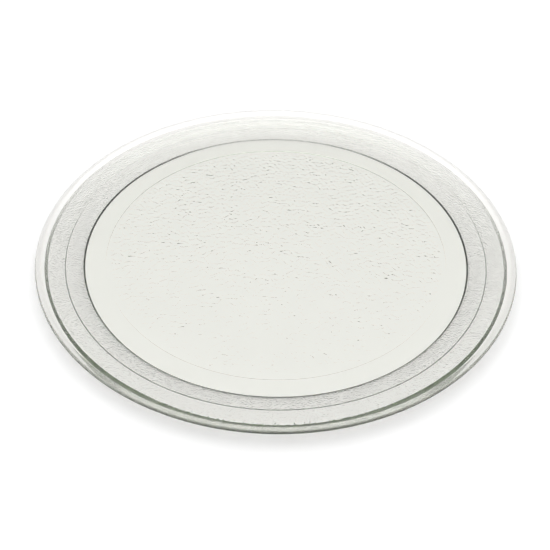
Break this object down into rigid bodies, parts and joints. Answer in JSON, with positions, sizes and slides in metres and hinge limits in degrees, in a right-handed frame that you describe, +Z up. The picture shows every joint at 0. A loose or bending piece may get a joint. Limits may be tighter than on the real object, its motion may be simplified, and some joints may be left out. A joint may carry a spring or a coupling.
{
  "type": "microwave turntable plate",
  "caption": "Round clear glass turntable plate with a flat floor, a shallow dished rim and a smooth bearing ring underneath.",
  "frame": {"origin": "on the plate's axis, in the plane of the bearing ring that it stands on", "axes": "+Z up along the plate's axis, out of the dished side; X and Y lie in the plane that it stands on"},
  "size_m": [0.245, 0.245, 0.0092],
  "materials": {
    "clear_glass": "clear soda-lime glass with a faint green tint, polished on top, grained under the floor and finely pitted under the rim"
  },
  "bodies": {
    "root": {"plate": "clear_glass"}
  },
  "joints": []
}
